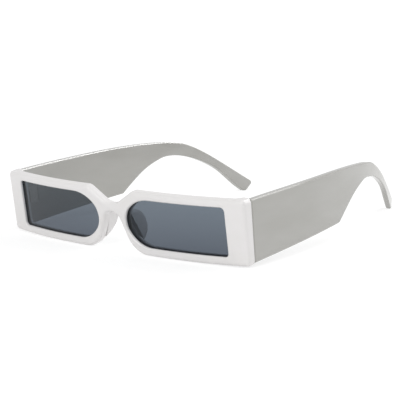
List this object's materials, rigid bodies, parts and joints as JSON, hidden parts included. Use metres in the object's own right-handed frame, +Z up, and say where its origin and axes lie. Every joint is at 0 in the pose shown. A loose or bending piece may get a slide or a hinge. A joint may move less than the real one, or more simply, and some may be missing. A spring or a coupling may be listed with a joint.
{
  "type": "narrow rectangle sunglasses",
  "caption": "Narrow rectangle sunglasses with a curved moulded front, tinted lenses and wide flat temples that fold on barrel hinges.",
  "frame": {"origin": "middle of the footprint on the surface that the sunglasses rest on, with the temples open", "axes": "+X towards the wearer's left, -Y the way the lenses face, +Z up"},
  "size_m": [0.144, 0.1494, 0.0312],
  "materials": {
    "frame_plastic": "pale grey-white moulded plastic, satin gloss",
    "lens_tint": "grey tinted transparent plastic, polished",
    "hinge_metal": "plated hinge metal, lightly brushed",
    "screw_metal": "bright steel screw"
  },
  "bodies": {
    "front": {"front_frame": "frame_plastic", "lens_left": "lens_tint", "lens_right": "lens_tint", "front_hinge_left": "hinge_metal", "front_hinge_right": "hinge_metal", "hinge_screw_left": "screw_metal", "hinge_screw_right": "screw_metal"},
    "left_temple": {"temple_left": "frame_plastic", "temple_hinge_left": "hinge_metal"},
    "right_temple": {"temple_right": "frame_plastic", "temple_hinge_right": "hinge_metal"}
  },
  "joints": [
    {"name": "left_temple_fold", "type": "hinge", "parent": "front", "child": "left_temple", "pos_m": [0.06715, -0.06115, 0.01592], "axis": [0, -0.0581, 0.9983], "range_deg": [0, 81.5]},
    {"name": "right_temple_fold", "type": "hinge", "parent": "front", "child": "right_temple", "pos_m": [-0.06715, -0.06115, 0.01592], "axis": [0, 0.0581, -0.9983], "range_deg": [0, 72]}
  ]
}
